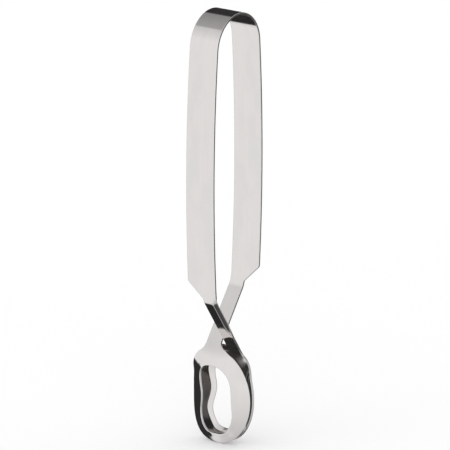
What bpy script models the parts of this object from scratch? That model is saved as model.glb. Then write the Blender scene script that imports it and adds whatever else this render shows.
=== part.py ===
"""Snail tongs: one strip of stainless sheet, bent into a spring bow with two crossed arms.

The strip is modelled as the rigid lengths between the zones where it flexes: the crown of the bow,
a shoulder on each side, and two arms, each ending in a half-width neck and a cupped ring jaw.
Z runs from the jaw tips to the crown, X from the left arm to the right arm, Y across the strip.
Each side is drawn as a right side. The left one is then turned half a turn about Z.
"""
import math

import bmesh
import bpy
from mathutils import Vector

MM = 0.001

# The strip
TOTAL_LENGTH = 160.0 * MM
SHEET = 0.8 * MM
STRIP_WIDTH = 12.2 * MM
SPLIT_GAP = 0.3 * MM

# The spine, measured on the middle of the sheet
BOW_RADIUS = 12.3 * MM
BOW_HALF_ANGLE = math.radians(85.5)
ARM_LENGTH = 90.5 * MM
ARM_RADIUS = 600.0 * MM
BEND_RADIUS = 6.1 * MM
NECK_TILT = math.radians(35.0)

# Where the strip flexes
CROWN_HALF_ANGLE = math.radians(45.0)
FLEX_BELOW_BOW = 18.0 * MM

# The slanted cut from the arm's full width to the neck
CUT_LENGTH = {"right": 6.4 * MM, "left": 5.5 * MM}
CUT_PAST_BEND = {"right": -0.2 * MM, "left": 0.2 * MM}
CUT_ROUNDING = 1.2 * MM
NECK_CLEARANCE = 0.4 * MM
NECK_SPREAD = {"right": 0.5 * MM, "left": -0.4 * MM}
INNER_FLARE = {"right": 2.0 * MM, "left": 0.5 * MM}
OUTER_FLARE = {"right": 0.5 * MM, "left": 0.9 * MM}
FLARE_LENGTH = 3.0 * MM

# The outer edge of the left neck is curled in
CURLED = {"right": False, "left": True}
CURL_WIDTH = 1.9 * MM
CURL_RADIUS = 2.9 * MM
CURL_FADE_TOP = 2.5 * MM
CURL_LOW = 40.0 * MM
CURL_HIGH = 47.0 * MM

# The cupped ring jaw, as seen along X. Its far half, towards +Y, is the squarer one on both arms.
PLUS_Y = {"right": 1.0, "left": -1.0}
JAW_HALF_WIDTH = 12.6 * MM
JAW_WIDEST = 17.3 * MM
JAW_TOP = 36.0 * MM
JAW_POWER_TOP = {"far": 2.45, "near": 2.05}
JAW_POWER_TIP = {"far": 2.62, "near": 2.02}
JAW_LEAN = -0.2 * MM
JAW_LEAN_TOP = 1.4 * MM
JAW_LEAN_TIP = 0.7 * MM
HOLE_HALF_WIDTH = 6.9 * MM
HOLE_HALF_HEIGHT = 12.7 * MM
HOLE_CENTRE = 16.7 * MM
HOLE_POWER = {"far": 3.6, "near": 2.35}
HOLE_LEAN_TOP = 0.9 * MM
HOLE_WAVE = {"far": 0.1, "near": 0.05}
HOLE_WAVE_MIDDLE = 13.8 * MM
HOLE_WAVE_LENGTH = 18.0 * MM

# The depth of the cup, measured from the plane where the jaws meet
RIM_CLEARANCE = 0.8 * MM
RIM_FLARE_TOP = 2.2 * MM
RIM_FLARE_TIP = 0.8 * MM
WALL_DEPTH = 3.7 * MM
WALL_POWER = 2.8
NECK_SETTLE = 8.5 * MM
NECK_BLEND_LOW = 24.2 * MM
NECK_BLEND_SIDE = 6.5 * MM
NECK_BLEND_EDGE = 2.0 * MM

# The lip round the hole, deeper on the far half, where the wall has a dip
LIP_REACH_TIP = 0.12
LIP_REACH_MIDDLE = 0.22
LIP_REACH_TOP = 0.15
LIP_REACH_LOW = (3.0 * MM, 12.0 * MM)
LIP_REACH_HIGH = (18.0 * MM, 26.0 * MM)
LIP_EASE = 0.03
LIP_DEPTH = 0.15 * MM
FAR_LIP_TOP = {"right": 0.55 * MM, "left": 0.8 * MM}
FAR_LIP_TIP = 0.7 * MM
FAR_LIP_LOW = 13.0 * MM
FAR_LIP_HIGH = 23.0 * MM
FAR_DIP = 0.3
FAR_DIP_HEIGHT = 11.0 * MM
FAR_DIP_REACH = 5.5 * MM
FAR_FROM = {"right": 0.5 * MM, "left": -5.0 * MM}
FAR_TO = {"right": 5.0 * MM, "left": -0.5 * MM}

# Facets
BOW_STEP = math.radians(3.0)
ARM_STEP = 3.0 * MM
ARM_FLAT = 20.0 * MM
NECK_STEPS = 12
STRIP_COLUMNS = 8
RING_STEPS = 72
RING_LAYERS = 9

STEEL_COLOUR = (0.72, 0.71, 0.69, 1.0)
STEEL_ROUGHNESS = 0.12


def clear_scene():
    for item in list(bpy.data.objects):
        bpy.data.objects.remove(item, do_unlink=True)


def smooth(value, low, high):
    """Ease from 0 at low to 1 at high."""
    share = min(max((value - low) / (high - low), 0.0), 1.0)
    return share * share * (3.0 - 2.0 * share)


def signed_power(value, power):
    return math.copysign(abs(value) ** power, value)


# The spine: arcs and one straight run, walked from the crown. A tilt is the angle between
# the strip and straight down, positive outwards.

def spine_runs():
    """Each run as (length, tilt at its start, tilt at its end)."""
    bow_end = math.pi / 2 - BOW_HALF_ANGLE
    arm_end = bow_end - ARM_LENGTH / ARM_RADIUS
    bend = BEND_RADIUS * (arm_end + NECK_TILT)
    return [
        (BOW_RADIUS * BOW_HALF_ANGLE, math.pi / 2, bow_end),
        (ARM_LENGTH, bow_end, arm_end),
        (bend, arm_end, -NECK_TILT),
    ]


def spine_point(distance):
    """The place (x, z) and tilt of the spine at a distance from the crown."""
    x = 0.0
    z = TOTAL_LENGTH - SHEET / 2
    for length, start, end in spine_runs():
        walked = min(distance, length)
        turn = (end - start) / length
        tilt = start + turn * walked
        x += (math.cos(start) - math.cos(tilt)) / turn
        z -= (math.sin(tilt) - math.sin(start)) / turn
        distance -= walked
        if distance <= 0.0:
            return x, z, tilt
    x -= math.sin(NECK_TILT) * distance
    z -= math.cos(NECK_TILT) * distance
    return x, z, -NECK_TILT


BOW_LENGTH = BOW_RADIUS * BOW_HALF_ANGLE
CROWN_LENGTH = BOW_RADIUS * CROWN_HALF_ANGLE
FLEX_LENGTH = BOW_LENGTH + FLEX_BELOW_BOW
BEND_START = BOW_LENGTH + ARM_LENGTH
NECK_START = BEND_START + spine_runs()[2][0]
NECK_RISE = math.tan(NECK_TILT)
NECK_TOP_X, NECK_TOP_Z, _ = spine_point(NECK_START)
CROSSING = NECK_TOP_Z - NECK_TOP_X / NECK_RISE

# The tip's cut edge leans with the cup, so the oval starts a little above the lowest corner.
TIP_RISE = (WALL_DEPTH * WALL_POWER - 2.0 * RIM_FLARE_TIP) / JAW_WIDEST
JAW_BOTTOM = SHEET / 2 * TIP_RISE / math.hypot(1.0, TIP_RISE)


# The jaw's oval outline and its hole, as points (y, z) at an angle

def jaw_reach(z):
    return JAW_TOP - JAW_WIDEST if z > JAW_WIDEST else JAW_WIDEST - JAW_BOTTOM


def half_of(y, side):
    return "far" if y * PLUS_Y[side] > 0.0 else "near"


def jaw_lean(z, side):
    """The place of the oval's middle line across the strip."""
    lean = JAW_LEAN_TOP if z > JAW_WIDEST else JAW_LEAN_TIP
    return PLUS_Y[side] * (JAW_LEAN + lean * ((z - JAW_WIDEST) / jaw_reach(z)) ** 2)


def jaw_power(y, z, side):
    """How square the oval is in the quarter that holds a place measured from its middle line."""
    powers = JAW_POWER_TOP if z > JAW_WIDEST else JAW_POWER_TIP
    return powers[half_of(y, side)]


def jaw_outline(angle, side):
    power = jaw_power(math.cos(angle), JAW_WIDEST + math.sin(angle), side)
    rise = signed_power(math.sin(angle), 2.0 / power)
    z = JAW_WIDEST + jaw_reach(JAW_WIDEST + rise) * rise
    y = JAW_HALF_WIDTH * signed_power(math.cos(angle), 2.0 / power)
    return y + jaw_lean(z, side), z


def jaw_outline_angle(y, side):
    """The angle on the upper half of the outline at a given y, found by halving."""
    low, high = 0.0, math.pi
    for _ in range(50):
        middle = (low + high) / 2
        if jaw_outline(middle, side)[0] > y:
            low = middle
        else:
            high = middle
    return low


def hole_lean(rise, side):
    return PLUS_Y[side] * HOLE_LEAN_TOP * max(0.0, rise) ** 2


def hole_width(rise, half):
    """Half the hole's width at a height, a little narrower above its middle and wider below."""
    above = HOLE_CENTRE + HOLE_HALF_HEIGHT * rise - HOLE_WAVE_MIDDLE
    wave = math.sin(2.0 * math.pi * above / HOLE_WAVE_LENGTH) * max(0.0, 1.0 - rise * rise)
    return HOLE_HALF_WIDTH * (1.0 - HOLE_WAVE[half] * wave)


def hole_outline(angle, side):
    half = half_of(math.cos(angle), side)
    power = HOLE_POWER[half]
    rise = signed_power(math.sin(angle), 2.0 / power)
    y = hole_width(rise, half) * signed_power(math.cos(angle), 2.0 / power)
    return y + hole_lean(rise, side), HOLE_CENTRE + HOLE_HALF_HEIGHT * rise


def hole_reach(y, z, side):
    """1 on the edge of the hole and more outside it."""
    rise = (z - HOLE_CENTRE) / HOLE_HALF_HEIGHT
    off = y - hole_lean(rise, side)
    half = half_of(off, side)
    power = HOLE_POWER[half]
    return ((abs(off) / hole_width(rise, half)) ** power + abs(rise) ** power) ** (1.0 / power)


def lip_reach(z):
    """How far the lip spreads from the hole, as a share of the hole's size."""
    wider = (LIP_REACH_MIDDLE - LIP_REACH_TIP) * smooth(z, *LIP_REACH_LOW)
    return LIP_REACH_TIP + wider + (LIP_REACH_TOP - LIP_REACH_MIDDLE) * smooth(z, *LIP_REACH_HIGH)


# The sheet's depth in front of the plane where the jaws meet

def cup_depth(y, z, side):
    off = y - jaw_lean(z, side)
    power = jaw_power(off, z, side)
    along = abs(z - JAW_WIDEST) / jaw_reach(z)
    radius = ((abs(off) / JAW_HALF_WIDTH) ** power + along ** power) ** (1.0 / power)
    flare = RIM_FLARE_TOP if z > JAW_WIDEST else RIM_FLARE_TIP
    far = smooth(off * PLUS_Y[side], FAR_FROM[side], FAR_TO[side])
    dip = far * FAR_DIP * math.exp(-((z - FAR_DIP_HEIGHT) / FAR_DIP_REACH) ** 2)
    wall = WALL_DEPTH * (1.0 - dip) * (1.0 - radius ** WALL_POWER)
    far_lip = FAR_LIP_TIP + (FAR_LIP_TOP[side] - FAR_LIP_TIP) * smooth(z, FAR_LIP_LOW, FAR_LIP_HIGH)
    reach = lip_reach(z)
    inside = (1.0 + reach - hole_reach(y, z, side)) / LIP_EASE
    lip = LIP_EASE * math.log1p(math.exp(inside)) / reach
    return RIM_CLEARANCE + flare * along ** 2 + wall + lip * (LIP_DEPTH + far * (far_lip - LIP_DEPTH))


def neck_depth(z):
    """The straight neck, which levels off once it has run into the cup."""
    drop = JAW_TOP - z
    if drop <= 0.0:
        return NECK_RISE * (CROSSING - z)
    settled = NECK_SETTLE * (1.0 - math.exp(-drop / NECK_SETTLE))
    return NECK_RISE * (CROSSING - JAW_TOP + settled)


def curl(y, side):
    """How far the neck's outer edge has turned in at a place across it."""
    if not CURLED[side]:
        return 0.0
    edge = STRIP_WIDTH / 2 + NECK_SPREAD[side]
    along = min(max(y - edge + CURL_WIDTH, 0.0), CURL_WIDTH)
    return CURL_RADIUS - math.sqrt(CURL_RADIUS ** 2 - along ** 2)


def jaw_depth(y, z, side):
    share = smooth(z, NECK_BLEND_LOW, JAW_TOP) * smooth(y, -NECK_BLEND_SIDE, -NECK_BLEND_EDGE)
    turned = curl(y, side) / math.cos(NECK_TILT) * smooth(z, CURL_LOW, CURL_HIGH)
    if share == 1.0:
        return neck_depth(z) + turned
    return share * neck_depth(z) + (1.0 - share) * cup_depth(y, z, side) + turned


def jaw_point(y, z, side):
    """A point of an arm's neck or jaw, before any half turn, and its sheet normal, which faces +X."""
    step = 0.01 * MM
    slope_y = (jaw_depth(y + step, z, side) - jaw_depth(y - step, z, side)) / (2.0 * step)
    slope_z = (jaw_depth(y, z + step, side) - jaw_depth(y, z - step, side)) / (2.0 * step)
    normal = Vector((1.0, slope_y, slope_z)).normalized()
    return Vector((-jaw_depth(y, z, side), y, z)), normal


def far_edge(distance, side):
    """An arm's outer edge before any half turn, which moves a little between the arm and the neck."""
    return STRIP_WIDTH / 2 + NECK_SPREAD[side] * smooth(distance, BEND_START - CURL_FADE_TOP, NECK_START)


def strip_place(distance, y, side):
    x, z, tilt = spine_point(distance)
    turned = curl(y, side) * smooth(distance, BEND_START - CURL_FADE_TOP, NECK_START)
    return Vector((x - math.cos(tilt) * turned, y, z - math.sin(tilt) * turned))


def strip_point(distance, y, side):
    """A point of the bow and arm, before any half turn, and its outward sheet normal."""
    step = 0.01 * MM
    along = strip_place(distance + step, y, side) - strip_place(distance - step, y, side)
    across = strip_place(distance, y + step, side) - strip_place(distance, y - step, side)
    return strip_place(distance, y, side), along.cross(across).normalized()


def cut_start(side):
    return BEND_START + CUT_PAST_BEND[side] - CUT_LENGTH[side]


def near_edge(distance, side):
    """An arm's inner edge before any half turn: full width, then a slanted cut to the neck."""
    drop = NECK_CLEARANCE + STRIP_WIDTH / 2
    along = distance - cut_start(side)
    ease = CUT_ROUNDING
    run = CUT_LENGTH[side]
    if along <= 0.0:
        moved = 0.0
    elif along < ease:
        moved = along * along / (2.0 * ease)
    elif along < run:
        moved = along - ease / 2.0
    elif along < run + ease:
        moved = run - ease / 2.0 + (along - run) - (along - run) ** 2 / (2.0 * ease)
    else:
        moved = run
    return -STRIP_WIDTH / 2 + drop * moved / run


# Sheets: a mid surface of points, normals and quads, thickened to a solid

class Sheet:
    """A mid surface that grows row by row."""

    def __init__(self):
        self.points = []
        self.normals = []
        self.quads = []

    def add_row(self, pairs):
        """Add points with their normals and return their numbers."""
        first = len(self.points)
        for point, normal in pairs:
            self.points.append(point)
            self.normals.append(normal)
        return list(range(first, len(self.points)))

    def join_rows(self, upper, lower):
        for left in range(len(upper) - 1):
            self.quads.append((upper[left], upper[left + 1], lower[left + 1], lower[left]))

    def join_all(self, rows):
        for upper, lower in zip(rows, rows[1:]):
            self.join_rows(upper, lower)


def sheet_solid(name, sheet, origin):
    """Thicken a sheet by half its gauge each way and close its edges, with the origin on a joint axis."""
    bm = bmesh.new()
    half = SHEET / 2
    pairs = list(zip(sheet.points, sheet.normals))
    front = [bm.verts.new(point + normal * half - origin) for point, normal in pairs]
    back = [bm.verts.new(point - normal * half - origin) for point, normal in pairs]
    sides = {}
    for quad in sheet.quads:
        bm.faces.new([front[corner] for corner in quad])
        bm.faces.new([back[corner] for corner in reversed(quad)])
        for start, end in zip(quad, quad[1:] + quad[:1]):
            if (end, start) in sides:
                del sides[(end, start)]
            else:
                sides[(start, end)] = True
    for start, end in sides:
        bm.faces.new((front[end], front[start], back[start], back[end]))
    bmesh.ops.recalc_face_normals(bm, faces=bm.faces)
    mesh = bpy.data.meshes.new(name)
    bm.to_mesh(mesh)
    bm.free()
    mesh.shade_smooth()
    mesh.set_sharp_from_angle(angle=math.radians(30.0))
    return mesh


def steel(name):
    material = bpy.data.materials.new(name + "_steel")
    material.use_nodes = True
    shader = material.node_tree.nodes["Principled BSDF"]
    shader.inputs["Base Color"].default_value = STEEL_COLOUR
    shader.inputs["Metallic"].default_value = 1.0
    shader.inputs["Roughness"].default_value = STEEL_ROUGHNESS
    return material


def add_piece(name, sheet, origin, parent=None, parent_origin=None, half_turn=False):
    """Place a piece with its origin on its joint axis, under the piece that carries it."""
    piece = bpy.data.objects.new(name, sheet_solid(name, sheet, origin))
    piece.data.materials.append(steel(name))
    bpy.context.scene.collection.objects.link(piece)
    place = origin - parent_origin if parent else origin
    if half_turn:
        place = Vector((-place.x, -place.y, place.z))
        piece.rotation_euler = (0.0, 0.0, math.pi)
    piece.location = place
    piece.parent = parent
    return piece


def even_steps(start, end, step):
    """Values from start to end, at most one step apart."""
    count = max(1, math.ceil(abs(end - start) / step - 1e-6))
    return [start + (end - start) * number / count for number in range(count + 1)]


def columns(near, far):
    return [near + (far - near) * number / STRIP_COLUMNS for number in range(STRIP_COLUMNS + 1)]


def crown_sheet():
    sheet = Sheet()
    reach = CROWN_HALF_ANGLE - SPLIT_GAP / 2 / BOW_RADIUS
    centre_z = TOTAL_LENGTH - SHEET / 2 - BOW_RADIUS
    rows = []
    for angle in even_steps(-reach, reach, BOW_STEP):
        normal = Vector((math.sin(angle), 0.0, math.cos(angle)))
        base = Vector((0.0, 0.0, centre_z)) + normal * BOW_RADIUS
        across = columns(-STRIP_WIDTH / 2, STRIP_WIDTH / 2)
        rows.append(sheet.add_row((base + Vector((0.0, y, 0.0)), normal) for y in across))
    sheet.join_all(rows)
    return sheet


def strip_rows(sheet, distances, side):
    rows = []
    for distance in distances:
        across = columns(near_edge(distance, side), far_edge(distance, side))
        rows.append(sheet.add_row(strip_point(distance, y, side) for y in across))
    return rows


def shoulder_sheet(side):
    """One haunch of the bow and the top of its arm, before any half turn."""
    sheet = Sheet()
    bow = even_steps(CROWN_LENGTH + SPLIT_GAP / 2, BOW_LENGTH, BOW_STEP * BOW_RADIUS)
    arm = even_steps(BOW_LENGTH, FLEX_LENGTH - SPLIT_GAP / 2, ARM_STEP)
    sheet.join_all(strip_rows(sheet, bow + arm[1:], side))
    return sheet


def arm_distances(side):
    """Places of the arm's cross rows: long flats on its gentle bow, and fine at the cut and the bend.

    A flat under the centre of mass lets the part lie still on its arm, and is within 0.1 mm of the curve.
    """
    start = cut_start(side)
    cut_end = start + CUT_LENGTH[side]
    fine = CUT_ROUNDING / 3
    places = even_steps(FLEX_LENGTH + SPLIT_GAP / 2, start, ARM_FLAT)
    places += even_steps(start, start + CUT_ROUNDING, fine)[1:]
    places += even_steps(start + CUT_ROUNDING, cut_end, ARM_STEP)[1:]
    places += even_steps(cut_end, cut_end + CUT_ROUNDING, fine)[1:]
    places += even_steps(cut_end + CUT_ROUNDING, NECK_START, fine)[1:]
    return places


def neck_foot_edges(side):
    """The y of both edges of the neck where it runs into the oval."""
    near = NECK_CLEARANCE - INNER_FLARE[side]
    far = STRIP_WIDTH / 2 + NECK_SPREAD[side] + OUTER_FLARE[side]
    return near, far


def neck_end_angle(share, side):
    """The angle where one column of the neck runs into the oval, from its near edge to its far one."""
    near, far = neck_foot_edges(side)
    return jaw_outline_angle(near + (far - near) * share, side)


def neck_rows(sheet, side):
    """Rows below the bend, flaring into the shoulders of the oval."""
    rows = []
    shares = [column / STRIP_COLUMNS for column in range(STRIP_COLUMNS + 1)]
    ends = [jaw_outline(neck_end_angle(share, side), side)[1] for share in shares]
    for number in range(1, NECK_STEPS):
        share_down = number / NECK_STEPS
        row = []
        for share, z_end in zip(shares, ends):
            z = NECK_TOP_Z + (z_end - NECK_TOP_Z) * share_down
            left = (z - z_end) / math.cos(NECK_TILT)
            flare = max(0.0, 1.0 - left / FLARE_LENGTH) ** 2
            near = NECK_CLEARANCE - INNER_FLARE[side] * flare
            far = STRIP_WIDTH / 2 + NECK_SPREAD[side] + OUTER_FLARE[side] * flare
            row.append(jaw_point(near + (far - near) * share, z, side))
        rows.append(sheet.add_row(row))
    return rows


def jaw_angles(side):
    """Angles round the ring from the neck's near corner, by the tip, to its far corner, then across it."""
    near = neck_end_angle(0.0, side)
    far = neck_end_angle(1.0, side)
    free = even_steps(near, far + 2.0 * math.pi, (far + 2.0 * math.pi - near) / RING_STEPS)
    joined = [neck_end_angle(column / STRIP_COLUMNS, side) for column in range(STRIP_COLUMNS - 1, 0, -1)]
    return free, joined


def arm_sheet(side):
    """One arm, neck and jaw as an unbroken sheet, before any half turn."""
    sheet = Sheet()
    rows = strip_rows(sheet, arm_distances(side), side)
    rows += neck_rows(sheet, side)
    free, joined = jaw_angles(side)
    angles = free + joined
    rings = []
    for layer in range(RING_LAYERS + 1):
        share = layer / RING_LAYERS
        ring = []
        for angle in angles:
            outer_y, outer_z = jaw_outline(angle, side)
            inner_y, inner_z = hole_outline(angle, side)
            y = outer_y + (inner_y - outer_y) * share
            z = outer_z + (inner_z - outer_z) * share
            ring.append(jaw_point(y, z, side))
        rings.append(sheet.add_row(ring))
    outline = rings[0]
    last = len(free) - 1
    neck_foot = [outline[0]] + outline[:last:-1] + [outline[last]]
    sheet.join_all(rows + [neck_foot])
    closed = [ring[::-1] + ring[-1:] for ring in rings]
    sheet.join_all(closed)
    return sheet


def spine_place(distance):
    x, z, _ = spine_point(distance)
    return Vector((x, 0.0, z))


def main():
    clear_scene()
    crown_centre = Vector((0.0, 0.0, TOTAL_LENGTH - SHEET / 2 - BOW_RADIUS))
    crown = add_piece("bow_crown", crown_sheet(), crown_centre)
    haunch = spine_place(CROWN_LENGTH)
    flex = spine_place(FLEX_LENGTH)
    for side, half_turn in (("right", False), ("left", True)):
        shoulder = add_piece(
            side + "_bow_shoulder", shoulder_sheet(side), haunch, crown, crown_centre, half_turn)
        add_piece(side + "_arm", arm_sheet(side), flex, shoulder, haunch)


main()
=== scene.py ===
"""Snail tongs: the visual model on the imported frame.

The strip is drawn again as a fine sheet with rounded cut edges, in the frame of the solids: Z runs
from the jaw tips to the crown, X from the left arm to the right arm, Y across the strip. Each side
has two pieces, a half of the bow and an arm, which meet where both follow the same body.
"""

import math

import bpy
from mathutils import Matrix, Vector


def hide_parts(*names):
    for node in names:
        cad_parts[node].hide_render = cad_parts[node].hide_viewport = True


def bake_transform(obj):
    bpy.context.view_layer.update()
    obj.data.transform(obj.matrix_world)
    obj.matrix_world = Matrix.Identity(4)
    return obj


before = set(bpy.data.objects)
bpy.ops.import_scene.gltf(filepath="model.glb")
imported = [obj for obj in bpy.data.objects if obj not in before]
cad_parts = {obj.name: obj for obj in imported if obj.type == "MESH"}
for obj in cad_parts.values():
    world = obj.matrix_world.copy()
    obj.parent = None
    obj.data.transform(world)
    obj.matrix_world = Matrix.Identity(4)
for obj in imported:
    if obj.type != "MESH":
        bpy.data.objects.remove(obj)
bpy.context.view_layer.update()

MM = 0.001

# The strip
TOTAL_LENGTH = 160.0 * MM
SHEET = 0.8 * MM
STRIP_WIDTH = 12.2 * MM
EDGE_ROUND = 0.18 * MM

# The spine, measured on the middle of the sheet
BOW_RADIUS = 12.3 * MM
BOW_HALF_ANGLE = math.radians(85.5)
ARM_LENGTH = 90.5 * MM
ARM_RADIUS = 600.0 * MM
BEND_RADIUS = 6.1 * MM
NECK_TILT = math.radians(35.0)

# Where the strip flexes, and how far the bending spreads along it
CROWN_HALF_ANGLE = math.radians(45.0)
FLEX_BELOW_BOW = 18.0 * MM
HAUNCH_SPREAD = 7.5 * MM
FLEX_SPREAD = 11.0 * MM

# The slanted cut from the arm's full width to the neck
CUT_LENGTH = {"right": 6.4 * MM, "left": 5.5 * MM}
CUT_PAST_BEND = {"right": -0.2 * MM, "left": 0.2 * MM}
CUT_ROUNDING = 1.2 * MM
NECK_CLEARANCE = 0.4 * MM
NECK_SPREAD = {"right": 0.5 * MM, "left": -0.4 * MM}
INNER_FLARE = {"right": 2.0 * MM, "left": 0.5 * MM}
OUTER_FLARE = {"right": 0.5 * MM, "left": 0.9 * MM}
FLARE_LENGTH = 3.0 * MM

# The outer edge of the left neck is curled in
CURLED = {"right": False, "left": True}
CURL_WIDTH = 1.9 * MM
CURL_RADIUS = 2.9 * MM
CURL_FADE_TOP = 2.5 * MM
CURL_LOW = 40.0 * MM
CURL_HIGH = 47.0 * MM

# The cupped ring jaw, as seen along X. Its far half, towards +Y, is the squarer one on both arms.
PLUS_Y = {"right": 1.0, "left": -1.0}
JAW_HALF_WIDTH = 12.6 * MM
JAW_WIDEST = 17.3 * MM
JAW_TOP = 36.0 * MM
JAW_POWER_TOP = {"far": 2.45, "near": 2.05}
JAW_POWER_TIP = {"far": 2.62, "near": 2.02}
JAW_LEAN = -0.2 * MM
JAW_LEAN_TOP = 1.4 * MM
JAW_LEAN_TIP = 0.7 * MM
HOLE_HALF_WIDTH = 6.9 * MM
HOLE_HALF_HEIGHT = 12.7 * MM
HOLE_CENTRE = 16.7 * MM
HOLE_POWER = {"far": 3.6, "near": 2.35}
HOLE_LEAN_TOP = 0.9 * MM
HOLE_WAVE = {"far": 0.1, "near": 0.05}
HOLE_WAVE_MIDDLE = 13.8 * MM
HOLE_WAVE_LENGTH = 18.0 * MM

# The depth of the cup, measured from the plane where the jaws meet
RIM_CLEARANCE = 0.8 * MM
RIM_FLARE_TOP = 2.2 * MM
RIM_FLARE_TIP = 0.8 * MM
WALL_DEPTH = 3.7 * MM
WALL_POWER = 2.8
NECK_SETTLE = 8.5 * MM
NECK_BLEND_LOW = 24.2 * MM
NECK_BLEND_SIDE = 6.5 * MM
NECK_BLEND_EDGE = 2.0 * MM

# The lip round the hole, deeper on the far half, where the wall has a dip
LIP_REACH_TIP = 0.12
LIP_REACH_MIDDLE = 0.22
LIP_REACH_TOP = 0.15
LIP_REACH_LOW = (3.0 * MM, 12.0 * MM)
LIP_REACH_HIGH = (18.0 * MM, 26.0 * MM)
LIP_EASE = 0.03
LIP_DEPTH = 0.15 * MM
FAR_LIP_TOP = {"right": 0.55 * MM, "left": 0.8 * MM}
FAR_LIP_TIP = 0.7 * MM
FAR_LIP_LOW = 13.0 * MM
FAR_LIP_HIGH = 23.0 * MM
FAR_DIP = 0.3
FAR_DIP_HEIGHT = 11.0 * MM
FAR_DIP_REACH = 5.5 * MM
FAR_FROM = {"right": 0.5 * MM, "left": -5.0 * MM}
FAR_TO = {"right": 5.0 * MM, "left": -0.5 * MM}

# Facets
BOW_STEP = math.radians(1.5)
ARM_STEP = 1.5 * MM
CUT_STEP = 0.5 * MM
CUT_CORNER_STEP = 0.2 * MM
NECK_STEPS = 30
STRIP_COLUMNS = 12
RING_STEPS = 200
RING_LAYERS = 18
ROUND_STEPS = 4

# Small steps to find a slope, and how finely a place is searched
SLOPE_STEP = 0.01 * MM
ANGLE_STEP = 0.001
HALVINGS = 50
STEP_SLACK = 1e-6

# The polish on the faces, the rounded corners with their wear and painted highlight, and the sheared
# edges. A range is the part of a noise that a mark is drawn from, and a detail is how many finer layers
# the noise has.
PLAIN_DETAIL = 2.0
STEEL_COLOUR = (0.74, 0.714, 0.702, 1.0)
STEEL_STREAK_COLOUR = (0.722, 0.698, 0.688, 1.0)
STEEL_SMUDGE_COLOUR = (0.71, 0.69, 0.68, 1.0)
STEEL_ROUGH_LOW = 0.05
STEEL_ROUGH_HIGH = 0.085
HAIRLINE_WIDTH = 0.09 * MM
HAIRLINE_LENGTH = 9.0 * MM
HAIRLINE_RANGE = (0.2, 0.8)
HAIRLINE_DEPTH = 0.0005 * MM
STREAK_WIDTH = 0.9 * MM
STREAK_LENGTH = 34.0 * MM
STREAK_RANGE = (0.25, 0.75)
SMUDGE_WIDTH = 7.0 * MM
SMUDGE_LENGTH = 12.0 * MM
SMUDGE_DETAIL = 4.0
SMUDGE_RANGE = (0.4, 0.68)
SMUDGE_ROUGH = 0.025
SCRATCH_WIDTH = 0.22 * MM
SCRATCH_LENGTH = 11.0 * MM
SCRATCH_TURNS = (math.radians(21.0), math.radians(-34.0))
SCRATCH_RANGE = (0.66, 0.72)
SCRATCH_ROUGH = 0.04
# The rounded corners' colour, lighter than the faces: partly wear, partly a painted highlight on the
# edges.
WORN_AND_HIGHLIGHT_COLOUR = (0.785, 0.762, 0.75, 1.0)
WORN_ROUGH_LOW = 0.13
WORN_ROUGH_HIGH = 0.26
NICK_SIZE = 0.35 * MM
NICK_DETAIL = 3.0
NICK_RANGE = (0.3, 0.7)
NICK_COLOUR_RANGE = (0.45, 0.7)
NICK_DEPTH = 0.006 * MM
CUT_COLOUR = (0.58, 0.562, 0.552, 1.0)
CUT_LINE_COLOUR = (0.48, 0.465, 0.457, 1.0)
CUT_ROUGH_LOW = 0.24
CUT_ROUGH_HIGH = 0.38
SHEAR_SIZE = 0.07 * MM
SHEAR_DETAIL = 3.0
SHEAR_RANGE = (0.3, 0.7)
SHEAR_DEPTH = 0.003 * MM

# The camera, fitted to the photograph's edges
VIEW_AZIMUTH = -52.81
VIEW_ELEVATION = 15.768
VIEW_ROLL = 0.293
VIEW_DISTANCE = 2.0
VIEW_HEIGHT = 81.267 * MM
VIEW_ASIDE = 0.259 * MM
PIXELS_PER_METRE = 2801.0
IMAGE_WIDTH = 450.0
SENSOR = 36.0

# The floor and the room's plain light
WHITE = (1.0, 1.0, 1.0, 1.0)
FLOOR_REACH = 4.0
FLOOR_ROUGH = 0.9

# The studio as a reflection sees it. A turn is measured from +Y towards +X and a rise from the
# horizon, both in degrees from the start of a change to its end. A level is a share of full white.
WALL_DIM_RISE = (18.0, 46.0)
WALL_DIM_LEVEL = 0.76
CARD_LEFT_TURN = (-31.0, -24.0)
CARD_LEFT_SLANT = 0.22
CARD_RIGHT_TURN = (60.0, 72.0)
CARD_RIGHT_SLANT = 0.5
CARD_CORNER_RISE = (-20.0, -9.0)
CARD_CORNER_TURN = (-17.0, -10.0)
CARD_LEVEL = 0.035
CARD_TOP_RISE = (-16.0, 4.0)
CARD_TOP_TURN = (12.0, 36.0)
CARD_TOP_LEVEL = 0.2
SIDE_TURN = (86.0, 174.0)
SIDE_TURN_SOFT = 6.0
SIDE_RISE = (-58.0, 22.0)
SIDE_RISE_SOFT = 8.0
SIDE_LEVEL = 0.11
SHADE = 0.3
SHADE_RISE = (-58.0, -8.0)
SHADE_TURN = (-95.0, -62.0)
LOW_SHADE_RISE = (-60.0, -46.0)
BELOW_RISE = (-70.0, -63.0)
BELOW_LEVEL = 0.08
CEILING_TURN = (-30.0, 38.0)
CEILING_LEVELS = (0.46, 0.32)
CEILING_EDGE_RISES = (46.5, 41.5)
CEILING_SOFT = 1.5
CEILING_START_TURN = (-78.0, -62.0)

# What a second or later reflection sees, between the arms and inside the jaws. A bounce is the
# range of reflections over which the light changes.
SECOND_BOUNCE = (1.0, 2.0)
DEEP_BOUNCE = (2.0, 3.0)
INSIDE_WAY = (0.375, -0.927)
INSIDE_REACH = (-0.25, -0.1)
INSIDE_RISE = (40.0, 48.0)
INSIDE_LEVEL_RISE = (-8.0, 12.0)
INSIDE_LEVELS = (0.16, 0.03)
INSIDE_LOW_RISE = (-50.0, -44.0)
INSIDE_LOW_TURN = (-85.0, -75.0)
DEEP_LEVEL = 0.08
DEEP_FRONT_LEVEL = 0.34
DEEP_FRONT_TURN = (-9.0, 75.0)
DEEP_FRONT_SOFT = 5.0
DEEP_FRONT_RISE = (-35.0, -25.0)


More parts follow.
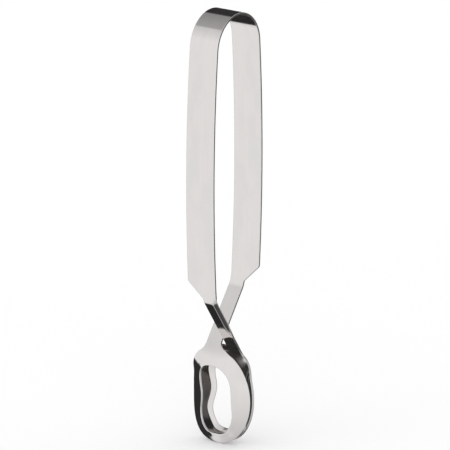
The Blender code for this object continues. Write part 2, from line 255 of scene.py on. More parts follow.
def smooth(value, low, high):
    """Ease from 0 at low to 1 at high."""
    share = min(max((value - low) / (high - low), 0.0), 1.0)
    return share * share * (3.0 - 2.0 * share)


def signed_power(value, power):
    return math.copysign(abs(value) ** power, value)


# The spine: arcs and one straight run, walked from the crown. A tilt is the angle between
# the strip and straight down, positive outwards.

def spine_runs():
    """Each run as (length, tilt at its start, tilt at its end)."""
    bow_end = math.pi / 2 - BOW_HALF_ANGLE
    arm_end = bow_end - ARM_LENGTH / ARM_RADIUS
    bend = BEND_RADIUS * (arm_end + NECK_TILT)
    return [
        (BOW_RADIUS * BOW_HALF_ANGLE, math.pi / 2, bow_end),
        (ARM_LENGTH, bow_end, arm_end),
        (bend, arm_end, -NECK_TILT),
    ]


def spine_point(distance):
    """The place (x, z) and tilt of the spine at a distance from the crown."""
    x = 0.0
    z = TOTAL_LENGTH - SHEET / 2
    for length, start, end in spine_runs():
        walked = min(distance, length)
        turn = (end - start) / length
        tilt = start + turn * walked
        x += (math.cos(start) - math.cos(tilt)) / turn
        z -= (math.sin(tilt) - math.sin(start)) / turn
        distance -= walked
        if distance <= 0.0:
            return x, z, tilt
    x -= math.sin(NECK_TILT) * distance
    z -= math.cos(NECK_TILT) * distance
    return x, z, -NECK_TILT


BOW_LENGTH = BOW_RADIUS * BOW_HALF_ANGLE
CROWN_LENGTH = BOW_RADIUS * CROWN_HALF_ANGLE
FLEX_LENGTH = BOW_LENGTH + FLEX_BELOW_BOW
SEAM_LENGTH = (CROWN_LENGTH + HAUNCH_SPREAD + FLEX_LENGTH - FLEX_SPREAD) / 2
BEND_START = BOW_LENGTH + ARM_LENGTH
NECK_START = BEND_START + spine_runs()[2][0]
NECK_RISE = math.tan(NECK_TILT)
NECK_TOP_X, NECK_TOP_Z, _ = spine_point(NECK_START)
CROSSING = NECK_TOP_Z - NECK_TOP_X / NECK_RISE

# The tip's cut edge leans with the cup, so the oval starts a little above the lowest corner.
TIP_RISE = (WALL_DEPTH * WALL_POWER - 2.0 * RIM_FLARE_TIP) / JAW_WIDEST
JAW_BOTTOM = SHEET / 2 * TIP_RISE / math.hypot(1.0, TIP_RISE)


# The jaw's oval outline and its hole, as points (y, z) at an angle

def jaw_reach(z):
    return JAW_TOP - JAW_WIDEST if z > JAW_WIDEST else JAW_WIDEST - JAW_BOTTOM


def half_of(y, side):
    return "far" if y * PLUS_Y[side] > 0.0 else "near"


def jaw_lean(z, side):
    """The place of the oval's middle line across the strip."""
    lean = JAW_LEAN_TOP if z > JAW_WIDEST else JAW_LEAN_TIP
    return PLUS_Y[side] * (JAW_LEAN + lean * ((z - JAW_WIDEST) / jaw_reach(z)) ** 2)


def jaw_power(y, z, side):
    """How square the oval is in the quarter that holds a place measured from its middle line."""
    powers = JAW_POWER_TOP if z > JAW_WIDEST else JAW_POWER_TIP
    return powers[half_of(y, side)]


def jaw_outline(angle, side):
    power = jaw_power(math.cos(angle), JAW_WIDEST + math.sin(angle), side)
    rise = signed_power(math.sin(angle), 2.0 / power)
    z = JAW_WIDEST + jaw_reach(JAW_WIDEST + rise) * rise
    y = JAW_HALF_WIDTH * signed_power(math.cos(angle), 2.0 / power)
    return y + jaw_lean(z, side), z


def jaw_outline_angle(y, side):
    """The angle on the upper half of the outline at a given y, found by halving."""
    low, high = 0.0, math.pi
    for _ in range(HALVINGS):
        middle = (low + high) / 2
        if jaw_outline(middle, side)[0] > y:
            low = middle
        else:
            high = middle
    return low


def hole_lean(rise, side):
    return PLUS_Y[side] * HOLE_LEAN_TOP * max(0.0, rise) ** 2


def hole_width(rise, half):
    """Half the hole's width at a height, a little narrower above its middle and wider below."""
    above = HOLE_CENTRE + HOLE_HALF_HEIGHT * rise - HOLE_WAVE_MIDDLE
    wave = math.sin(2.0 * math.pi * above / HOLE_WAVE_LENGTH) * max(0.0, 1.0 - rise * rise)
    return HOLE_HALF_WIDTH * (1.0 - HOLE_WAVE[half] * wave)


def hole_outline(angle, side):
    half = half_of(math.cos(angle), side)
    power = HOLE_POWER[half]
    rise = signed_power(math.sin(angle), 2.0 / power)
    y = hole_width(rise, half) * signed_power(math.cos(angle), 2.0 / power)
    return y + hole_lean(rise, side), HOLE_CENTRE + HOLE_HALF_HEIGHT * rise


def hole_reach(y, z, side):
    """1 on the edge of the hole and more outside it."""
    rise = (z - HOLE_CENTRE) / HOLE_HALF_HEIGHT
    off = y - hole_lean(rise, side)
    half = half_of(off, side)
    power = HOLE_POWER[half]
    return ((abs(off) / hole_width(rise, half)) ** power + abs(rise) ** power) ** (1.0 / power)


def lip_reach(z):
    """How far the lip spreads from the hole, as a share of the hole's size."""
    wider = (LIP_REACH_MIDDLE - LIP_REACH_TIP) * smooth(z, *LIP_REACH_LOW)
    return LIP_REACH_TIP + wider + (LIP_REACH_TOP - LIP_REACH_MIDDLE) * smooth(z, *LIP_REACH_HIGH)


# The sheet's depth in front of the plane where the jaws meet

def cup_depth(y, z, side):
    off = y - jaw_lean(z, side)
    power = jaw_power(off, z, side)
    along = abs(z - JAW_WIDEST) / jaw_reach(z)
    radius = ((abs(off) / JAW_HALF_WIDTH) ** power + along ** power) ** (1.0 / power)
    flare = RIM_FLARE_TOP if z > JAW_WIDEST else RIM_FLARE_TIP
    far = smooth(off * PLUS_Y[side], FAR_FROM[side], FAR_TO[side])
    dip = far * FAR_DIP * math.exp(-((z - FAR_DIP_HEIGHT) / FAR_DIP_REACH) ** 2)
    wall = WALL_DEPTH * (1.0 - dip) * (1.0 - radius ** WALL_POWER)
    far_lip = FAR_LIP_TIP + (FAR_LIP_TOP[side] - FAR_LIP_TIP) * smooth(z, FAR_LIP_LOW, FAR_LIP_HIGH)
    reach = lip_reach(z)
    inside = (1.0 + reach - hole_reach(y, z, side)) / LIP_EASE
    lip = LIP_EASE * math.log1p(math.exp(inside)) / reach
    return RIM_CLEARANCE + flare * along ** 2 + wall + lip * (LIP_DEPTH + far * (far_lip - LIP_DEPTH))


def neck_depth(z):
    """The straight neck, which levels off once it has run into the cup."""
    drop = JAW_TOP - z
    if drop <= 0.0:
        return NECK_RISE * (CROSSING - z)
    settled = NECK_SETTLE * (1.0 - math.exp(-drop / NECK_SETTLE))
    return NECK_RISE * (CROSSING - JAW_TOP + settled)


def curl(y, side):
    """How far the neck's outer edge has turned in at a place across it."""
    if not CURLED[side]:
        return 0.0
    edge = STRIP_WIDTH / 2 + NECK_SPREAD[side]
    along = min(max(y - edge + CURL_WIDTH, 0.0), CURL_WIDTH)
    return CURL_RADIUS - math.sqrt(CURL_RADIUS ** 2 - along ** 2)


def jaw_depth(y, z, side):
    share = smooth(z, NECK_BLEND_LOW, JAW_TOP) * smooth(y, -NECK_BLEND_SIDE, -NECK_BLEND_EDGE)
    turned = curl(y, side) / math.cos(NECK_TILT) * smooth(z, CURL_LOW, CURL_HIGH)
    if share == 1.0:
        return neck_depth(z) + turned
    return share * neck_depth(z) + (1.0 - share) * cup_depth(y, z, side) + turned


def jaw_point(y, z, side):
    """A point of an arm's neck or jaw, before any half turn, its sheet normal and its flat place."""
    step = SLOPE_STEP
    slope_y = (jaw_depth(y + step, z, side) - jaw_depth(y - step, z, side)) / (2.0 * step)
    slope_z = (jaw_depth(y, z + step, side) - jaw_depth(y, z - step, side)) / (2.0 * step)
    normal = Vector((1.0, slope_y, slope_z)).normalized()
    flat = (y, NECK_START + (NECK_TOP_Z - z) / math.cos(NECK_TILT))
    return Vector((-jaw_depth(y, z, side), y, z)), normal, flat


def far_edge(distance, side):
    """An arm's outer edge before any half turn, which moves a little between the arm and the neck."""
    return STRIP_WIDTH / 2 + NECK_SPREAD[side] * smooth(distance, BEND_START - CURL_FADE_TOP, NECK_START)


def strip_place(distance, y, side):
    x, z, tilt = spine_point(distance)
    turned = curl(y, side) * smooth(distance, BEND_START - CURL_FADE_TOP, NECK_START)
    return Vector((x - math.cos(tilt) * turned, y, z - math.sin(tilt) * turned))


def strip_point(distance, y, side):
    """A point of the bow and arm, before any half turn, its outward sheet normal and its flat place."""
    step = SLOPE_STEP
    along = strip_place(distance + step, y, side) - strip_place(max(distance - step, 0.0), y, side)
    across = strip_place(distance, y + step, side) - strip_place(distance, y - step, side)
    normal = along.cross(across).normalized()
    return strip_place(distance, y, side), normal, (y, distance)


def cut_start(side):
    return BEND_START + CUT_PAST_BEND[side] - CUT_LENGTH[side]


def near_edge(distance, side):
    """An arm's inner edge before any half turn: full width, then a slanted cut to the neck."""
    drop = NECK_CLEARANCE + STRIP_WIDTH / 2
    along = distance - cut_start(side)
    ease = CUT_ROUNDING
    run = CUT_LENGTH[side]
    if along <= 0.0:
        moved = 0.0
    elif along < ease:
        moved = along * along / (2.0 * ease)
    elif along < run:
        moved = along - ease / 2.0
    elif along < run + ease:
        moved = run - ease / 2.0 + (along - run) - (along - run) ** 2 / (2.0 * ease)
    else:
        moved = run
    return -STRIP_WIDTH / 2 + drop * moved / run


# Sheets: a mid surface of points, normals, flat places and quads, thickened to a rounded solid

class Sheet:
    """A mid surface that grows row by row."""

    def __init__(self):
        self.points = []
        self.normals = []
        self.flats = []
        self.quads = []
        self.seams = []

    def add_row(self, triples):
        """Add points with their normals and flat places, and return their numbers."""
        first = len(self.points)
        for point, normal, flat in triples:
            self.points.append(point)
            self.normals.append(normal)
            self.flats.append(flat)
        return list(range(first, len(self.points)))

    def join_rows(self, upper, lower):
        """Quads between two rows, wound so that they face along the normals."""
        for left in range(len(upper) - 1):
            quad = (upper[left], upper[left + 1], lower[left + 1], lower[left])
            a, b, c, d = (self.points[corner] for corner in quad)
            if (c - a).cross(d - b).dot(self.normals[quad[0]]) < 0.0:
                quad = quad[::-1]
            self.quads.append(quad)

    def join_all(self, rows):
        for upper, lower in zip(rows, rows[1:]):
            self.join_rows(upper, lower)

    def rim(self):
        """The edges with one quad only, as pairs of start and end."""
        edges = {}
        for quad in self.quads:
            for start, end in zip(quad, quad[1:] + quad[:1]):
                if (end, start) in edges:
                    del edges[(end, start)]
                else:
                    edges[(start, end)] = True
        return list(edges)


def edge_directions(sheet, rim):
    """The way out of the sheet, square to its edge, at each point of the rim."""
    out = {}
    for start, end in rim:
        along = (sheet.points[end] - sheet.points[start]).normalized()
        for corner in (start, end):
            side = along.cross(sheet.normals[corner])
            out[corner] = out.get(corner, Vector()) + side
    return {corner: side.normalized() for corner, side in out.items()}


def edge_profile():
    """Steps round the cut edge: how far along the sheet normal and outwards, then the normal there."""
    turns = [math.pi / 2 * number / ROUND_STEPS for number in range(ROUND_STEPS + 1)]
    flat = SHEET / 2 - EDGE_ROUND
    top = [(flat + EDGE_ROUND * math.cos(t), EDGE_ROUND * math.sin(t), math.cos(t), math.sin(t))
           for t in turns]
    bottom = [(-rise, out, -up, side) for rise, out, up, side in reversed(top)]
    return top + bottom


class Solid:
    """Vertices, normals, flat places and faces of a finished mesh."""

    def __init__(self):
        self.points = []
        self.normals = []
        self.flats = []
        self.faces = []
        self.kinds = []

    def add(self, point, normal, flat):
        self.points.append(point)
        self.normals.append(normal)
        self.flats.append(flat)
        return len(self.points) - 1

    def face(self, corners, kind):
        self.faces.append(corners)
        self.kinds.append(kind)


# Kinds of face, which are also the places of their materials in a piece's list
FACE = 0
# The rounded corners, whose lighter colour is partly wear and partly a painted highlight.
WORN_AND_HIGHLIGHT = 1
EDGE = 2


def thicken(sheet):
    """A sheet with its gauge and rounded cut edges. A seam is closed by a flat end instead."""
    solid = Solid()
    half = SHEET / 2
    triples = list(zip(sheet.points, sheet.normals, sheet.flats))
    front = [solid.add(point + normal * half, normal, flat) for point, normal, flat in triples]
    back = [solid.add(point - normal * half, -normal, flat) for point, normal, flat in triples]
    for quad in sheet.quads:
        solid.face([front[corner] for corner in quad], FACE)
        solid.face([back[corner] for corner in reversed(quad)], FACE)
    ends = {frozenset(pair) for row in sheet.seams for pair in zip(row, row[1:])}
    cut = [edge for edge in sheet.rim() if frozenset(edge) not in ends]
    steps = edge_profile()
    walls = {}
    for corner, out in edge_directions(sheet, cut).items():
        point, normal, flat = triples[corner]
        wall = [front[corner]]
        for rise, reach, up, side in steps[1:-1]:
            place = point + normal * rise + out * reach
            wall.append(solid.add(place, normal * up + out * side, flat))
        wall.append(back[corner])
        walls[corner] = wall
    for start, end in cut:
        for number in range(len(steps) - 1):
            kind = EDGE if number == ROUND_STEPS else WORN_AND_HIGHLIGHT
            a, b = walls[start], walls[end]
            solid.face([a[number], a[number + 1], b[number + 1], b[number]], kind)
    for row in sheet.seams:
        close_seam(solid, row, front, back, walls)
    return solid


def close_seam(solid, row, front, back, walls):
    """The flat end across the strip at a seam, facing out of the piece."""
    loop = [front[corner] for corner in row]
    loop += walls[row[-1]][1:-1]
    loop += [back[corner] for corner in reversed(row)]
    loop += walls[row[0]][-2:0:-1]
    start, end = loop[:2]
    if any(pair == (start, end) for quad in solid.faces for pair in zip(quad, quad[1:] + quad[:1])):
        loop.reverse()
    solid.face(loop, EDGE)


def even_steps(start, end, step):
    """Values from start to end, at most one step apart."""
    count = max(1, math.ceil(abs(end - start) / step - STEP_SLACK))
    return [start + (end - start) * number / count for number in range(count + 1)]


def columns(near, far):
    return [near + (far - near) * number / STRIP_COLUMNS for number in range(STRIP_COLUMNS + 1)]


def strip_rows(sheet, distances, side):
    rows = []
    for distance in distances:
        across = columns(near_edge(distance, side) + EDGE_ROUND, far_edge(distance, side) - EDGE_ROUND)
        rows.append(sheet.add_row(strip_point(distance, y, side) for y in across))
    return rows


def bow_sheet(side):
    """One half of the bow, before any half turn, from the crown to the seam in the shoulder."""
    sheet = Sheet()
    bow = even_steps(0.0, BOW_LENGTH, BOW_STEP * BOW_RADIUS)
    arm = even_steps(BOW_LENGTH, SEAM_LENGTH, ARM_STEP)
    rows = strip_rows(sheet, bow + arm[1:], side)
    sheet.join_all(rows)
    sheet.seams = [rows[0], rows[-1]]
    return sheet


def arm_distances(side):
    """Places of the arm's cross rows: fine at the slanted cut's rounded corners and round the bend."""
    start = cut_start(side)
    cut_end = start + CUT_LENGTH[side]
    places = even_steps(SEAM_LENGTH, start, ARM_STEP)
    places += even_steps(start, start + CUT_ROUNDING, CUT_CORNER_STEP)[1:]
    places += even_steps(start + CUT_ROUNDING, cut_end, CUT_STEP)[1:]
    places += even_steps(cut_end, cut_end + CUT_ROUNDING, CUT_CORNER_STEP)[1:]
    places += even_steps(cut_end + CUT_ROUNDING, NECK_START, CUT_CORNER_STEP)[1:]
    return places


def moved_in(outline, angle, side, reach):
    """A point of an outline, moved square to it by a reach, inwards where the reach is positive."""
    y0, z0 = outline(angle - ANGLE_STEP, side)
    y1, z1 = outline(angle + ANGLE_STEP, side)
    y, z = outline(angle, side)
    run = math.hypot(y1 - y0, z1 - z0)
    return y - reach * (z1 - z0) / run, z + reach * (y1 - y0) / run


def inset_outline(angle, side):
    """The oval, drawn in by the rounding of its cut edge."""
    return moved_in(jaw_outline, angle, side, EDGE_ROUND)


def inset_hole(angle, side):
    """The hole, widened by the rounding of its cut edge."""
    return moved_in(hole_outline, angle, side, -EDGE_ROUND)


def neck_foot_edges(side):
    """The y of both edges of the neck where it runs into the oval."""
    near = NECK_CLEARANCE - INNER_FLARE[side]
    far = STRIP_WIDTH / 2 + NECK_SPREAD[side] + OUTER_FLARE[side]
    return near, far


def neck_end_angle(share, side):
    """The angle where one column of the neck runs into the oval, from its near edge to its far one."""
    near, far = neck_foot_edges(side)
    return jaw_outline_angle(near + (far - near) * share, side)


def neck_rows(sheet, side):
    """Rows below the bend, flaring into the shoulders of the oval."""
    rows = []
    shares = [column / STRIP_COLUMNS for column in range(STRIP_COLUMNS + 1)]
    ends = [inset_outline(neck_end_angle(share, side), side)[1] for share in shares]
    for number in range(1, NECK_STEPS):
        share_down = number / NECK_STEPS
        row = []
        for share, z_end in zip(shares, ends):
            z = NECK_TOP_Z + (z_end - NECK_TOP_Z) * share_down
            left = (z - z_end) / math.cos(NECK_TILT)
            flare = max(0.0, 1.0 - left / FLARE_LENGTH) ** 2
            near = NECK_CLEARANCE - INNER_FLARE[side] * flare + EDGE_ROUND
            far = STRIP_WIDTH / 2 + NECK_SPREAD[side] + OUTER_FLARE[side] * flare - EDGE_ROUND
            row.append(jaw_point(near + (far - near) * share, z, side))
        rows.append(sheet.add_row(row))
    return rows


def jaw_angles(side):
    """Angles round the ring: from the neck's near corner by the tip to its far one, and back across."""
    near = neck_end_angle(0.0, side)
    far = neck_end_angle(1.0, side)
    free = even_steps(near, far + 2.0 * math.pi, (far + 2.0 * math.pi - near) / RING_STEPS)
    joined = [neck_end_angle(column / STRIP_COLUMNS, side) for column in range(STRIP_COLUMNS - 1, 0, -1)]
    return free, joined


def arm_sheet(side):
    """One arm, neck and jaw as an unbroken sheet, before any half turn."""
    sheet = Sheet()
    rows = strip_rows(sheet, arm_distances(side), side)
    rows += neck_rows(sheet, side)
    free, joined = jaw_angles(side)
    angles = free + joined
    rings = []
    for layer in range(RING_LAYERS + 1):
        share = layer / RING_LAYERS
        ring = []
        for angle in angles:
            outer_y, outer_z = inset_outline(angle, side)
            inner_y, inner_z = inset_hole(angle, side)
            y = outer_y + (inner_y - outer_y) * share
            z = outer_z + (inner_z - outer_z) * share
            ring.append(jaw_point(y, z, side))
        rings.append(sheet.add_row(ring))
    outline = rings[0]
    last = len(free) - 1
    neck_foot = [outline[0]] + outline[:last:-1] + [outline[last]]
    sheet.join_all(rows + [neck_foot])
    closed = [ring[::-1] + ring[-1:] for ring in rings]
    sheet.join_all(closed)
    sheet.seams = [rows[0]]
    return sheet


# A mix node has inputs of the same name for each kind of value, so those for colours go by number.
MIX_COLOUR_INPUTS = (6, 7)
MIX_COLOUR_OUTPUT = 2


class Wiring:
    """Short calls for the nodes of one tree."""

    def __init__(self, tree):
        self.tree = tree

    def node(self, kind, **settings):
        made = self.tree.nodes.new(kind)
        for name, value in settings.items():
            setattr(made, name, value)
        return made

    def feed(self, socket, value):
        """Link a socket to another one, or set its value."""
        if isinstance(value, bpy.types.NodeSocket):
            self.tree.links.new(value, socket)
        else:
            socket.default_value = value

    def sum(self, operation, *values):
        """One step of arithmetic."""
        made = self.node("ShaderNodeMath", operation=operation)
        for socket, value in zip(made.inputs, values):
            self.feed(socket, value)
        return made.outputs[0]

    def ramp(self, value, low, high, start=0.0, end=1.0, kind="SMOOTHSTEP"):
        """A value eased from start at low to end at high."""
        made = self.node("ShaderNodeMapRange", interpolation_type=kind)
        for socket, fed in zip(made.inputs, (value, low, high, start, end)):
            self.feed(socket, fed)
        return made.outputs[0]

    def mix(self, share, first, second):
        """A number between two others."""
        made = self.node("ShaderNodeMix", data_type="FLOAT")
        for socket, value in zip(made.inputs, (share, None, first, second)):
            if value is not None:
                self.feed(socket, value)
        return made.outputs[0]

    def between(self, value, low, high, soft):
        """1 inside the range and 0 outside it, with soft ends."""
        rise = self.ramp(value, low - soft, low + soft)
        fall = self.ramp(value, high - soft, high + soft, 1.0, 0.0)
        return self.sum("MULTIPLY", rise, fall)

    def grain(self, width, length, turn=0.0, detail=PLAIN_DETAIL):
        """Noise laid on the flat strip, with cells of a width across it and a length along it."""
        laid = self.node("ShaderNodeMapping", vector_type="TEXTURE")
        self.feed(laid.inputs["Vector"], self.node("ShaderNodeUVMap", uv_map="strip").outputs["UV"])
        self.feed(laid.inputs["Rotation"], (0.0, 0.0, turn))
        self.feed(laid.inputs["Scale"], (width, length, 1.0))
        noise = self.node("ShaderNodeTexNoise", noise_dimensions="2D")
        self.feed(noise.inputs["Vector"], laid.outputs["Vector"])
        self.feed(noise.inputs["Scale"], 1.0)
        self.feed(noise.inputs["Detail"], detail)
        return noise.outputs[0]

    def blend(self, share, first, second):
        """A colour between two others."""
        made = self.node("ShaderNodeMix", data_type="RGBA")
        self.feed(made.inputs[0], share)
        for socket, value in zip(MIX_COLOUR_INPUTS, (first, second)):
            self.feed(made.inputs[socket], value)
        return made.outputs[MIX_COLOUR_OUTPUT]

    def bump(self, height, depth):
        made = self.node("ShaderNodeBump")
        self.feed(made.inputs["Height"], height)
        self.feed(made.inputs["Distance"], depth)
        return made.outputs["Normal"]


# Materials

def metal(name):
    """A bare metal and the wiring of its nodes."""
    material = bpy.data.materials.new(name)
    material.use_nodes = True
    shader = material.node_tree.nodes["Principled BSDF"]
    shader.inputs["Metallic"].default_value = 1.0
    return material, shader, Wiring(material.node_tree)


def polished_steel():
    """The sheet's faces: hairlines along the strip, stray scratches and smudges from handling."""
    material, shader, wiring = metal("polished_steel")
    hairline = wiring.grain(HAIRLINE_WIDTH, HAIRLINE_LENGTH)
    streak = wiring.grain(STREAK_WIDTH, STREAK_LENGTH)
    smudge = wiring.ramp(wiring.grain(SMUDGE_WIDTH, SMUDGE_LENGTH, detail=SMUDGE_DETAIL), *SMUDGE_RANGE)
    scratches = [wiring.ramp(wiring.grain(SCRATCH_WIDTH, SCRATCH_LENGTH, turn), *SCRATCH_RANGE)
                 for turn in SCRATCH_TURNS]
    scratch = wiring.sum("MAXIMUM", *scratches)
    rough = wiring.ramp(hairline, *HAIRLINE_RANGE, STEEL_ROUGH_LOW, STEEL_ROUGH_HIGH, "LINEAR")
    rough = wiring.sum("ADD", rough, wiring.sum("MULTIPLY", smudge, SMUDGE_ROUGH))
    rough = wiring.sum("ADD", rough, wiring.sum("MULTIPLY", scratch, SCRATCH_ROUGH))
    wiring.feed(shader.inputs["Roughness"], rough)
    drift = wiring.ramp(streak, *STREAK_RANGE, kind="LINEAR")
    colour = wiring.blend(drift, STEEL_COLOUR, STEEL_STREAK_COLOUR)
    wiring.feed(shader.inputs["Base Color"], wiring.blend(smudge, colour, STEEL_SMUDGE_COLOUR))
    height = wiring.sum("SUBTRACT", hairline, scratch)
    wiring.feed(shader.inputs["Normal"], wiring.bump(height, HAIRLINE_DEPTH))
    return material


def worn_and_highlight_steel():
    """The rounded corners of the cut edges, nicked, and lighter than the faces: partly wear, partly a
    painted highlight.
    """
    material, shader, wiring = metal("worn_and_highlight_steel")
    nick = wiring.grain(NICK_SIZE, NICK_SIZE, detail=NICK_DETAIL)
    rough = wiring.ramp(nick, *NICK_RANGE, WORN_ROUGH_LOW, WORN_ROUGH_HIGH)
    wiring.feed(shader.inputs["Roughness"], rough)
    # Painted highlight: the nicks mix the plain steel colour into a lighter one, which is partly wear.
    wear_and_highlight_mix = wiring.ramp(nick, *NICK_COLOUR_RANGE)
    wiring.feed(shader.inputs["Base Color"], wiring.blend(wear_and_highlight_mix, WORN_AND_HIGHLIGHT_COLOUR, STEEL_COLOUR))
    wiring.feed(shader.inputs["Normal"], wiring.bump(nick, NICK_DEPTH))
    return material


def cut_steel():
    """The flat of the cut edges, with the fine lines that shearing leaves across the gauge."""
    material, shader, wiring = metal("cut_steel")
    line = wiring.grain(SHEAR_SIZE, SHEAR_SIZE, detail=SHEAR_DETAIL)
    rough = wiring.ramp(line, *SHEAR_RANGE, CUT_ROUGH_LOW, CUT_ROUGH_HIGH)
    wiring.feed(shader.inputs["Roughness"], rough)
    colour = wiring.blend(wiring.ramp(line, *SHEAR_RANGE), CUT_COLOUR, CUT_LINE_COLOUR)
    wiring.feed(shader.inputs["Base Color"], colour)
    wiring.feed(shader.inputs["Normal"], wiring.bump(line, SHEAR_DEPTH))
    return material


# Pieces

def half_turned(vector):
    return Vector((-vector.x, -vector.y, vector.z))


def add_piece(name, solid, half_turn, materials):
    turn = half_turned if half_turn else Vector
    mesh = bpy.data.meshes.new(name)
    mesh.from_pydata([turn(point) for point in solid.points], [], solid.faces)
    for material in materials:
        mesh.materials.append(material)
    mesh.polygons.foreach_set("material_index", solid.kinds)
    mesh.shade_smooth()
    flat = mesh.uv_layers.new(name="strip")
    for loop in mesh.loops:
        flat.data[loop.index].uv = solid.flats[loop.vertex_index]
    mesh.validate()
    mesh.normals_split_custom_set_from_vertices([turn(normal) for normal in solid.normals])
    piece = bpy.data.objects.new(name, mesh)
    bpy.context.scene.collection.objects.link(piece)
    return piece


def spot(distance, half_turn):
    """The middle of the strip at a distance from the crown."""
    x, z, _ = spine_point(distance)
    return Vector((-x if half_turn else x, 0.0, z))


def add_side(side, half_turn, materials):
    """One half of the bow and the arm below it."""
    bow = add_piece(side + "_bow", thicken(bow_sheet(side)), half_turn, materials)
    spot(CROWN_LENGTH - HAUNCH_SPREAD, half_turn)
    spot(CROWN_LENGTH + HAUNCH_SPREAD, half_turn)
    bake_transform(bow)
    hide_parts("bow_crown", side + "_bow_shoulder")
    arm = add_piece(side + "_strip", thicken(arm_sheet(side)), half_turn, materials)
    spot(FLEX_LENGTH - FLEX_SPREAD, half_turn)
    spot(FLEX_LENGTH + FLEX_SPREAD, half_turn)
    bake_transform(arm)
    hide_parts(side + "_bow_shoulder", side + "_arm")


def add_camera():
    """A long lens at the photograph's angle, turned by its slight roll."""
    azimuth = math.radians(VIEW_AZIMUTH)
    elevation = math.radians(VIEW_ELEVATION)
    roll = math.radians(VIEW_ROLL)
    back = Vector((
        math.sin(azimuth) * math.cos(elevation),
        -math.cos(azimuth) * math.cos(elevation),
        math.sin(elevation)))
    level = Vector((math.cos(azimuth), math.sin(azimuth), 0.0))
    upright = back.cross(level)
    right = level * math.cos(roll) + upright * math.sin(roll)
    up = upright * math.cos(roll) - level * math.sin(roll)
    place = Vector((0.0, 0.0, VIEW_HEIGHT)) + level * VIEW_ASIDE + back * VIEW_DISTANCE
    camera = bpy.data.objects.new("camera", bpy.data.cameras.new("camera"))
    camera.data.sensor_width = SENSOR
    camera.data.lens = SENSOR * VIEW_DISTANCE * PIXELS_PER_METRE / IMAGE_WIDTH
    turn = Matrix((right, up, back)).transposed().to_4x4()
    camera.matrix_world = Matrix.Translation(place) @ turn
    bpy.context.scene.collection.objects.link(camera)
    bpy.context.scene.camera = camera


def add_floor():
    material = bpy.data.materials.new("floor")
    material.use_nodes = True
    shader = material.node_tree.nodes["Principled BSDF"]
    shader.inputs["Base Color"].default_value = WHITE
    shader.inputs["Roughness"].default_value = FLOOR_ROUGH
    shader.inputs["Specular IOR Level"].default_value = 0.0
    mesh = bpy.data.meshes.new("floor")
    reach = FLOOR_REACH
    mesh.from_pydata([(-reach, -reach, 0), (reach, -reach, 0), (reach, reach, 0), (-reach, reach, 0)],
                     [], [(0, 1, 2, 3)])
    mesh.materials.append(material)
    floor = bpy.data.objects.new("floor", mesh)
    bpy.context.scene.collection.objects.link(floor)
    floor.visible_glossy = False


def studio_wall(wiring, turn, rise):
    """The pale wall, with a black card in front, a dark grey side and a shaded floor.

    The card has a soft cut at one corner and is greyer along its top.
    """
    wall = wiring.ramp(rise, *WALL_DIM_RISE, 1.0, WALL_DIM_LEVEL, "LINEAR")
    slant = wiring.sum("MULTIPLY", wiring.sum("MINIMUM", rise, 0.0), CARD_LEFT_SLANT)
    left = wiring.sum("ADD", turn, slant)
    right = wiring.sum("SUBTRACT", turn, wiring.sum("MULTIPLY", rise, CARD_RIGHT_SLANT))
    card = wiring.sum("MULTIPLY",
                      wiring.ramp(left, *CARD_LEFT_TURN),
                      wiring.ramp(right, *CARD_RIGHT_TURN, 1.0, 0.0))
    corner = wiring.sum("MULTIPLY",
                        wiring.ramp(rise, *CARD_CORNER_RISE),
                        wiring.ramp(turn, *CARD_CORNER_TURN, 1.0, 0.0))
    card = wiring.sum("MULTIPLY", card, wiring.sum("SUBTRACT", 1.0, corner))
    top = wiring.sum("MULTIPLY",
                     wiring.ramp(rise, *CARD_TOP_RISE),
                     wiring.ramp(turn, *CARD_TOP_TURN, 1.0, 0.0))
    wall = wiring.mix(card, wall, wiring.ramp(top, 0.0, 1.0, CARD_LEVEL, CARD_TOP_LEVEL, "LINEAR"))
    side = wiring.sum("MULTIPLY",
                      wiring.between(turn, *SIDE_TURN, SIDE_TURN_SOFT),
                      wiring.between(rise, *SIDE_RISE, SIDE_RISE_SOFT))
    wall = wiring.mix(side, wall, SIDE_LEVEL)
    beside = wiring.sum("MULTIPLY",
                        wiring.ramp(rise, *SHADE_RISE, SHADE, 0.0, "LINEAR"),
                        wiring.ramp(turn, *SHADE_TURN, 1.0, 0.0))
    low = wiring.ramp(rise, *LOW_SHADE_RISE, SHADE, 0.0)
    shade = wiring.sum("MAXIMUM", beside, low)
    wall = wiring.sum("MULTIPLY", wall, wiring.sum("SUBTRACT", 1.0, shade))
    return wiring.mix(wiring.ramp(rise, *BELOW_RISE, 1.0, 0.0), wall, BELOW_LEVEL)


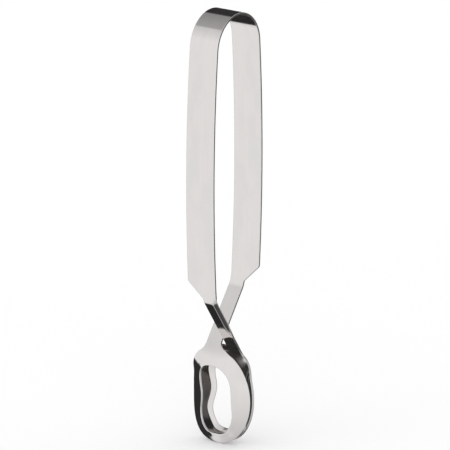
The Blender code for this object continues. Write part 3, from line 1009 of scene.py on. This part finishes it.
def studio_inside(wiring, way, turn, rise, bounces):
    """How far a second reflection looks back into the tongs, and how dark it is there."""
    front = wiring.sum("ADD",
                       wiring.sum("MULTIPLY", way["X"], INSIDE_WAY[0]),
                       wiring.sum("MULTIPLY", way["Y"], INSIDE_WAY[1]))
    back = wiring.sum("MULTIPLY",
                      wiring.ramp(front, *INSIDE_REACH),
                      wiring.ramp(rise, *INSIDE_RISE, 1.0, 0.0))
    below = wiring.sum("MULTIPLY",
                       wiring.ramp(rise, *INSIDE_LOW_RISE, 1.0, 0.0),
                       wiring.ramp(turn, *INSIDE_LOW_TURN))
    second = wiring.ramp(bounces, *SECOND_BOUNCE, kind="LINEAR")
    share = wiring.sum("MULTIPLY", wiring.sum("MAXIMUM", back, below), second)
    level = wiring.ramp(rise, *INSIDE_LEVEL_RISE, *INSIDE_LEVELS)
    return share, wiring.mix(below, level, CARD_LEVEL)


def add_light():
    """A white room. Only a reflection sees its wall, its grey ceiling and its black card."""
    world = bpy.data.worlds.new("studio")
    world.use_nodes = True
    bpy.context.scene.world = world
    wiring = Wiring(world.node_tree)
    background = world.node_tree.nodes["Background"]
    background.inputs["Color"].default_value = WHITE
    parts = wiring.node("ShaderNodeSeparateXYZ")
    wiring.feed(parts.inputs[0], wiring.node("ShaderNodeTexCoord").outputs["Generated"])
    way = parts.outputs
    turn = wiring.sum("DEGREES", wiring.sum("ARCTAN2", way["X"], way["Y"]))
    rise = wiring.sum("DEGREES", wiring.sum("ARCSINE", way["Z"]))
    ceiling = wiring.ramp(turn, *CEILING_TURN, *CEILING_LEVELS, "LINEAR")
    edge = wiring.ramp(turn, *CEILING_TURN, *CEILING_EDGE_RISES, "LINEAR")
    above = wiring.sum("MULTIPLY",
                       wiring.ramp(wiring.sum("SUBTRACT", rise, edge), -CEILING_SOFT, CEILING_SOFT),
                       wiring.ramp(turn, *CEILING_START_TURN))
    seen = wiring.mix(above, studio_wall(wiring, turn, rise), ceiling)
    path = wiring.node("ShaderNodeLightPath").outputs
    bounces = path["Glossy Depth"]
    share, level = studio_inside(wiring, way, turn, rise, bounces)
    seen = wiring.mix(share, seen, level)
    ahead = wiring.sum("MULTIPLY",
                       wiring.between(turn, *DEEP_FRONT_TURN, DEEP_FRONT_SOFT),
                       wiring.ramp(rise, *DEEP_FRONT_RISE))
    deep = wiring.ramp(ahead, 0.0, 1.0, DEEP_LEVEL, DEEP_FRONT_LEVEL, "LINEAR")
    seen = wiring.mix(wiring.ramp(bounces, *DEEP_BOUNCE, kind="LINEAR"), seen, deep)
    strength = wiring.mix(path["Is Glossy Ray"], 1.0, seen)
    wiring.feed(background.inputs["Strength"], strength)


materials = [polished_steel(), worn_and_highlight_steel(), cut_steel()]
add_side("right", False, materials)
add_side("left", True, materials)
add_camera()
add_floor()
add_light()
bpy.context.scene.view_settings.view_transform = "Standard"
